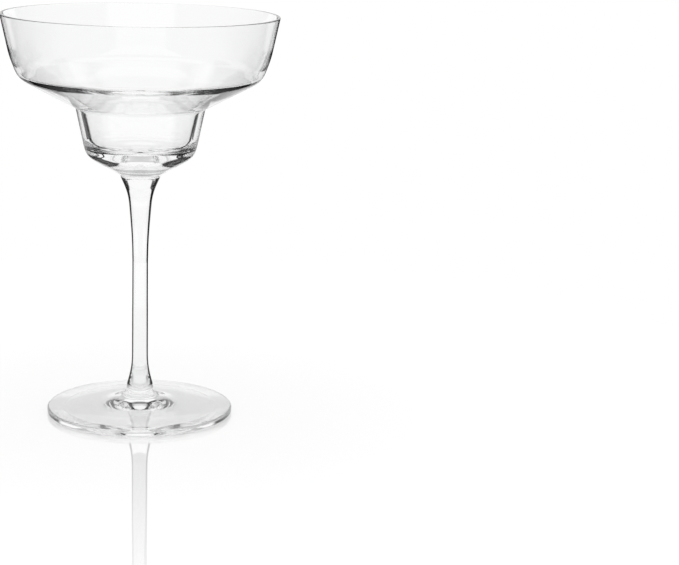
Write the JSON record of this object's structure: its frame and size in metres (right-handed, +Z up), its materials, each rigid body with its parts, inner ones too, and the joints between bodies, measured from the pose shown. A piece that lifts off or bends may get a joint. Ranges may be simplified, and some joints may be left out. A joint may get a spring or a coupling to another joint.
{
  "type": "margarita glass",
  "caption": "Clear stepped margarita glass: a wide flared bowl over a small lower cup, on a slim flared stem and a flat round foot.",
  "frame": {"origin": "centre of the foot, on the table that the glass stands on", "axes": "+Z up along the stem's axis, from the foot to the rim; the glass is round, so X and Y are any two level directions"},
  "size_m": [0.1182, 0.1182, 0.1745],
  "materials": {
    "clear_crystal": "clear crystal, fire polished and smooth all over"
  },
  "bodies": {
    "root": {"bowl": "clear_crystal", "stem": "clear_crystal", "foot": "clear_crystal"}
  },
  "joints": []
}
